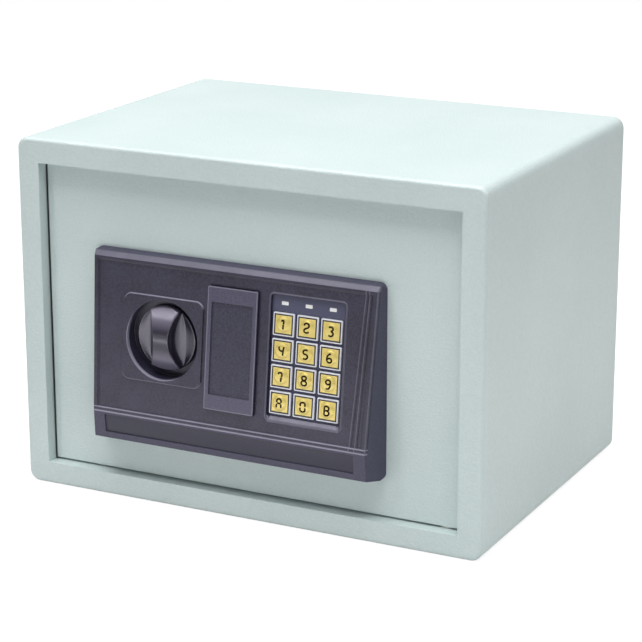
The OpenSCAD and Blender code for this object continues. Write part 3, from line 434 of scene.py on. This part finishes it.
def knob_height(x, y):
    """How far the knob stands over its back at a point from its axis, in metres."""
    crest = RISE - DOME_DROP * (y / KNOB_R) ** 2
    edge = GRIP_HALF + HOLLOW_R - math.sqrt(HOLLOW_R ** 2 - y ** 2)
    room = math.sqrt(max(KNOB_R ** 2 - y ** 2, 0)) - edge
    if abs(x) <= edge:
        near = max(0, (abs(x) - edge) / MM + GRIP_ROUND) / GRIP_ROUND
        height = crest - GRIP_ROUND_DROP * near ** 2
    else:
        part = (abs(x) - edge) / max(room, MM)
        if part < 0.5:
            wall = crest - GRIP_ROUND_DROP - HOLLOW_FLOOR
            height = HOLLOW_FLOOR + wall * (1 - math.sqrt(1 - (1 - part / 0.5) ** 2))
        else:
            height = HOLLOW_FLOOR + (HOLLOW_LIP - HOLLOW_FLOOR) * ((part - 0.5) / 0.5) ** 1.4
    rim = max(0, (math.hypot(x, y) - KNOB_R) / MM + RIM_ROUND) / RIM_ROUND
    return height - RIM_ROUND * MM * (1 - math.sqrt(1 - min(rim, 1) ** 2))


bm = bmesh.new()
ray = [bm.verts.new((0, 0, 0)), bm.verts.new((KNOB_R, 0, 0))]
bmesh.ops.subdivide_edges(bm, edges=[bm.edges.new(ray)], cuts=80)
bmesh.ops.spin(bm, geom=bm.verts[:] + bm.edges[:], cent=(0, 0, 0), axis=(0, 0, 1), angle=math.tau,
               steps=220, use_merge=True)
bmesh.ops.remove_doubles(bm, verts=bm.verts[:], dist=0.001 * MM)
for vert in bm.verts:
    vert.co.z = knob_height(vert.co.x, vert.co.y)
skirt = bmesh.ops.extrude_edge_only(bm, edges=[e for e in bm.edges if e.is_boundary])
for vert in [g for g in skirt["geom"] if isinstance(g, bmesh.types.BMVert)]:
    vert.co.z = 0
bmesh.ops.holes_fill(bm, edges=[e for e in bm.edges if e.is_boundary])
bmesh.ops.recalc_face_normals(bm, faces=bm.faces[:])
bm.transform(Matrix.Translation((hub.x, high.y, hub.z)) @ Matrix.Rotation(math.pi / 2, 4, "X"))
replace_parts(mesh_piece("grip_knob", bm, [gloss], "knob"), "knob")

# ---- Keypad ----
# Twelve moulded keys on a printed navy plate, paler round the three lamps. Each key is printed
# with a white frame and a dark line, and carries a gold pillow with its number.

KEY_TOP = -1.3 * MM
PITCH = 17.65 * MM
KEYPAD = Vector((49.8, -32.3, 0)) * MM
FIELD = 5.95 * MM
WHITE_FROM = 6.9 * MM
PILLOW_R = FIELD * 0.84
PEN = 1.3 * MM
KEYS_LOW, KEYS_HIGH = 80 * MM, 150.8 * MM

plate = Finish("printed_plate", Roughness=0.5)
spot = plate.place()
height = plate.axes(spot)[2]
grit = plate.noise(spot, 1200.0)
keys_zone = height.step(KEYS_LOW, KEYS_LOW + MM) * (1 - height.step(KEYS_HIGH, KEYS_HIGH + MM))
plate.feed(
    Base_Color=plate.blend(
        keys_zone, plate.blend(grit, srgb(62, 64, 88), srgb(76, 77, 102)),
        plate.blend(grit, srgb(30, 33, 62), srgb(38, 42, 74))),
)
plate.on("keypad_plate")

lens = Finish("lamp_lens", Roughness=0.25)
clear = lens.noise(lens.place(), 700.0)
lens.feed(Base_Color=lens.blend(clear, srgb(240, 240, 238), srgb(226, 227, 230)))
lens.on("led_lenses")

gold = Finish("gold_print", Roughness=0.3, Metallic=0.25)
dust = gold.noise(gold.place(), 900.0, 3.0)
gold.feed(Base_Color=gold.blend(dust, srgb(226, 206, 122), srgb(208, 186, 104)))

ink = Finish("brown_ink", Roughness=0.7, Specular_IOR_Level=0.1)
mott = ink.noise(ink.place(), 1500.0)
ink.feed(Base_Color=ink.blend(mott, srgb(30, 23, 12), srgb(44, 34, 18)))

STROKES = {
    "1": [[(-1.1, 2.3), (0.2, 3.1), (0.7, 2.0), (0.6, 0.3)], [(0.5, 0.1), (0.3, -3.2)]],
    "2": [[(-1.8, 1.7), (-1.2, 3.0), (1.0, 3.1), (1.8, 1.8), (1.0, 0.4), (-0.8, -0.5), (-1.8, -2.0),
           (-0.9, -3.1), (0.8, -3.1), (1.8, -2.5)]],
    "3": [[(-1.5, 2.8), (0.2, 3.2), (1.6, 2.3), (1.2, 0.8), (0.1, 0.2)],
          [(0.1, 0.2), (1.6, -0.6), (1.7, -2.1), (0.4, -3.2), (-1.6, -2.8)]],
    "4": [[(-1.8, 3.1), (-1.5, 0.9), (-0.4, 0.1), (1.2, 0.1)], [(1.7, 3.1), (1.3, 0.2), (1.0, -3.2)]],
    "5": [[(1.7, 3.1), (-0.5, 3.1), (-1.5, 2.0), (-1.0, 0.5), (0.7, 0.1), (1.7, -1.2), (0.9, -2.9),
           (-1.6, -3.1)]],
    "6": [[(1.0, 3.2), (-0.7, 2.2), (-1.7, 0.0), (-1.5, -2.2), (0.0, -3.2), (1.5, -2.3), (1.5, -0.9),
           (0.1, -0.1), (-1.4, -0.8)]],
    "7": [[(-1.7, 2.2), (-0.8, 3.1), (0.8, 3.0), (1.3, 2.0), (1.0, 0.4)], [(0.9, 0.1), (0.4, -3.2)]],
    "8": [[(0.0, 0.2), (-1.4, 1.2), (-1.2, 2.8), (0.1, 3.2), (1.4, 2.7), (1.4, 1.2), (0.0, 0.2)],
          [(0.0, 0.2), (-1.7, -0.9), (-1.5, -2.7), (0.0, -3.3), (1.6, -2.6), (1.7, -0.9), (0.0, 0.2)]],
    "9": [[(1.4, 0.8), (0.0, 0.1), (-1.4, 1.0), (-1.3, 2.5), (0.0, 3.2), (1.5, 2.4), (1.6, 0.4),
           (1.4, -1.6), (0.2, -3.0), (-1.5, -3.0)]],
    "a": [[(-1.6, 0.5), (-1.4, 2.4), (0.0, 3.2), (1.4, 2.4), (1.5, 0.4)], [(-1.3, 0.0), (1.3, 0.0)],
          [(-1.7, -0.5), (-1.9, -3.2)], [(1.5, -0.5), (1.5, -3.2)]],
    "0": [[(-1.8, 0.5), (-1.5, 2.6), (0.0, 3.2), (1.5, 2.6), (1.7, 0.5)],
          [(-1.8, -0.5), (-1.6, -2.6), (0.0, -3.3), (1.6, -2.6), (1.7, -0.5)]],
    "b": [[(-1.6, 3.1), (0.6, 3.1), (1.5, 2.2), (1.3, 0.7), (0.2, 0.2), (-1.6, 0.1)],
          [(0.2, 0.1), (1.6, -0.8), (1.6, -2.3), (0.6, -3.2), (-1.7, -3.2)], [(-1.6, 3.1), (-1.7, -3.2)]],
}


def pillow_height(x, y):
    """How far the gold pillow stands over the key at a point from its middle."""
    far = min(1, math.hypot(x, y) / PILLOW_R)
    flat = (1 - (x / FIELD) ** 4) * (1 - (y / FIELD) ** 4)
    return MM * (0.1 + 0.12 * flat + 1.05 * (1 - far ** 4) ** 0.5)


def stroke_mesh(strokes, width):
    """A symbol drawn with a round pen, as a bmesh about its own middle."""
    pen = bpy.data.curves.new("pen", "CURVE")
    pen.dimensions = "3D"
    pen.bevel_depth = width / 2
    pen.bevel_resolution = 1
    pen.resolution_u = 6
    pen.use_fill_caps = True
    for stroke in strokes:
        spline = pen.splines.new("BEZIER")
        spline.bezier_points.add(len(stroke) - 1)
        for point, (x, y) in zip(spline.bezier_points, stroke):
            point.co = (x * MM, y * MM, 0)
            point.handle_left_type = point.handle_right_type = "AUTO"
    drawn = bpy.data.objects.new("pen", pen)
    bpy.context.scene.collection.objects.link(drawn)
    mesh = bpy.data.meshes.new_from_object(drawn.evaluated_get(bpy.context.evaluated_depsgraph_get()))
    bpy.data.objects.remove(drawn)
    bm = bmesh.new()
    bm.from_mesh(mesh)
    return bm


for symbol in STROKES:
    node = "key_" + symbol
    row, column = divmod("123456789a0b".index(symbol), 3)
    middle = KEYPAD + Vector(((column - 1) * PITCH, -row * PITCH, KEY_TOP))
    key = Finish(node + "_cap", Roughness=0.42)
    to_middle = (on_face @ Matrix.Translation(middle)).inverted().to_translation()
    u, v, _ = key.axes(key.moved(key.place(), location=to_middle, rotation=(TILT - math.pi / 2, 0, 0)))
    white = abs(u).most(abs(v)).step(WHITE_FROM, WHITE_FROM + 0.1 * MM)
    key.feed(Base_Color=key.blend(white, srgb(30, 28, 36), srgb(224, 225, 232)))
    key.on(node)
    bm = bmesh.new()
    bmesh.ops.create_grid(bm, x_segments=28, y_segments=28, size=FIELD)
    for vert in bm.verts:
        vert.co.z = pillow_height(vert.co.x, vert.co.y)
    skirt = bmesh.ops.extrude_edge_only(bm, edges=[e for e in bm.edges if e.is_boundary])
    for vert in [g for g in skirt["geom"] if isinstance(g, bmesh.types.BMVert)]:
        vert.co.z = 0
    printed = stroke_mesh(STROKES[symbol], PEN)
    for vert in printed.verts:
        vert.co.y *= 0.95
        vert.co.z = pillow_height(vert.co.x, vert.co.y) + max(vert.co.z, -0.2 * MM) * 0.12
    for face in printed.faces:
        face.material_index = 1
    ink_mesh = bpy.data.meshes.new("ink")
    printed.to_mesh(ink_mesh)
    printed.free()
    bm.from_mesh(ink_mesh)
    bm.transform(on_face @ Matrix.Translation(middle))
    mesh_piece(node + "_face", bm, [gold, ink], node)

# ---- Behind the panel ----
# Rubber contact sheet, green circuit board, black mouldings, brass key lock, copper winding,
# jacketed cells and the red reset button.

rubber = Finish("contact_rubber", Roughness=0.7)
mottle = rubber.noise(rubber.place(), 500.0)
rubber.feed(Base_Color=rubber.blend(mottle, srgb(84, 85, 92), srgb(74, 75, 82)))
rubber.on("contact_mat")

board = Finish("board_laminate", Roughness=0.4)
weave = board.noise(board.place(), 900.0, 3.0)
board.feed(Base_Color=board.blend(weave, srgb(34, 92, 56), srgb(46, 108, 66)))
board.on("circuit_board")

black = Finish("black_moulding", Roughness=0.45)
pore = black.noise(black.place(), 1300.0, 2.0)
black.feed(Base_Color=black.blend(pore, srgb(34, 34, 38), srgb(46, 46, 50)))
black.bump(pore, 0.00006)
black.on("buzzer", "battery_box", "battery_lid", "reset_switch")

brass = Finish("turned_brass", Metallic=1.0)
tone = brass.noise(brass.moved(brass.place(), scale=(0.05, 1, 0.05)), 1500.0)
brass.feed(
    Base_Color=brass.blend(tone, srgb(206, 170, 104), srgb(188, 150, 88)),
    Roughness=0.22 + 0.15 * tone,
)
brass.on("lock_barrel", "lock_plug")

copper = Finish("copper_winding", Metallic=1.0, Roughness=0.35)
turns = copper.node("ShaderNodeTexWave", {"bands_direction": "Z"}, Vector=copper.place(), Scale=650.0,
                    Distortion=0.3)
copper.feed(Base_Color=copper.blend(turns, srgb(150, 82, 48), srgb(206, 128, 84)))
copper.bump(turns, 0.0002)
copper.on("solenoid_coil")

SLEEVE_TOP = 96.5 * MM
jacket = Finish("cell_jacket", Metallic=0.6, Roughness=0.35)
sleeve = jacket.axes(jacket.place())[2].step(SLEEVE_TOP, SLEEVE_TOP + 0.5 * MM)
jacket.feed(Base_Color=jacket.blend(sleeve, srgb(44, 46, 52), srgb(182, 150, 92)))
jacket.on("battery_cells")

red = Finish("red_moulding", Roughness=0.3)
haze = red.noise(red.place(), 600.0)
red.feed(Base_Color=red.blend(haze, srgb(190, 44, 36), srgb(176, 38, 32)))
red.on("reset_button")

# ---- Floor, lights and camera ----
# A pale floor that keeps the soft shadow and is seen as white, one broad lamp overhead, and
# weak lamps in front of the box and beside it.

GLOW = 0.88
FLOOR_SHADE = 0.24

bm = bmesh.new()
bmesh.ops.create_grid(bm, x_segments=1, y_segments=1, size=30)
bmesh.ops.translate(bm, verts=bm.verts, vec=(0, 0, -0.2 * MM))
floor_mesh = bpy.data.meshes.new("floor")
bm.to_mesh(floor_mesh)
bm.free()
floor = bpy.data.objects.new("floor", floor_mesh)
bpy.context.scene.collection.objects.link(floor)
paper = Finish("white_floor", Roughness=0.9, Specular_IOR_Level=0.0)
paper.feed(Base_Color=srgb(188, 188, 188))
floor_mesh.materials.append(paper.material)
ray = paper.nodes.new("ShaderNodeLightPath")
seen = Level(paper, ray.outputs["Is Camera Ray"]).most(Level(paper, ray.outputs["Is Glossy Ray"])).most(
    Level(paper, ray.outputs["Is Transmission Ray"]))
shade = paper.nodes.new("ShaderNodeBsdfDiffuse")
shade.inputs["Color"].default_value = (FLOOR_SHADE, FLOOR_SHADE, FLOOR_SHADE, 1)
glow = paper.nodes.new("ShaderNodeEmission")
glow.inputs["Strength"].default_value = GLOW
both = paper.nodes.new("ShaderNodeAddShader")
pick = paper.nodes.new("ShaderNodeMixShader")
paper.links.new(shade.outputs[0], both.inputs[0])
paper.links.new(glow.outputs[0], both.inputs[1])
paper.put(pick.inputs[0], seen)
paper.links.new(paper.shader.outputs[0], pick.inputs[1])
paper.links.new(both.outputs[0], pick.inputs[2])
paper.links.new(pick.outputs[0], paper.nodes["Material Output"].inputs["Surface"])

world = bpy.data.worlds.new("studio")
bpy.context.scene.world = world
world.use_nodes = True
sky = world.node_tree
path = sky.nodes.new("ShaderNodeLightPath")
strength = sky.nodes.new("ShaderNodeMath")
strength.operation = "MULTIPLY_ADD"
strength.inputs[1].default_value = GLOW
strength.inputs[2].default_value = 1 - GLOW
sky.links.new(path.outputs["Is Camera Ray"], strength.inputs[0])
sky.nodes["Background"].inputs["Color"].default_value = (1, 1, 1, 1)
sky.links.new(strength.outputs[0], sky.nodes["Background"].inputs["Strength"])


def softbox(name, place, aim, wide, high, watts):
    """A rectangular lamp, its sizes and places in metres."""
    lamp = bpy.data.lights.new(name, "AREA")
    lamp.shape = "RECTANGLE"
    lamp.size, lamp.size_y = wide, high
    lamp.energy = watts
    box = bpy.data.objects.new(name, lamp)
    box.location = place
    box.rotation_euler = (Vector(aim) - Vector(place)).to_track_quat("-Z", "Y").to_euler()
    bpy.context.scene.collection.objects.link(box)


softbox("overhead", (0.05, -0.35, 2.3), (0.05, -0.1, 0), 2.4, 2.0, 88)
softbox("key", (-1.3, -1.9, 1.9), (0, -0.1, 0.1), 0.3, 1.0, 8)
softbox("low_front", (-0.3, -2.2, 0.35), (0, -0.1, 0.1), 1.4, 1.0, 0.4)
softbox("front_strip", (0.05, -0.45, 0.015), (0.05, -0.12, 0.005), 0.9, 0.04, 0.42)
softbox("side_strip", (0.48, -0.05, 0.04), (0.155, -0.05, 0.02), 0.7, 0.06, 0.3)
softbox("right_fill", (2.2, -0.8, 0.8), (0.1, 0, 0.12), 1.4, 1.4, 1.4)

camera = bpy.data.objects.new("camera", bpy.data.cameras.new("camera"))
bpy.context.scene.collection.objects.link(camera)
camera.location = (0.70221, -1.39665, 0.56810)
camera.rotation_euler = (1.284741, 0.000645, 0.468210)
camera.data.lens = 127.507
camera.data.sensor_width = 36
camera.data.clip_start, camera.data.clip_end = 0.01, 100
bpy.context.scene.camera = camera
bpy.context.scene.view_settings.view_transform = "Standard"
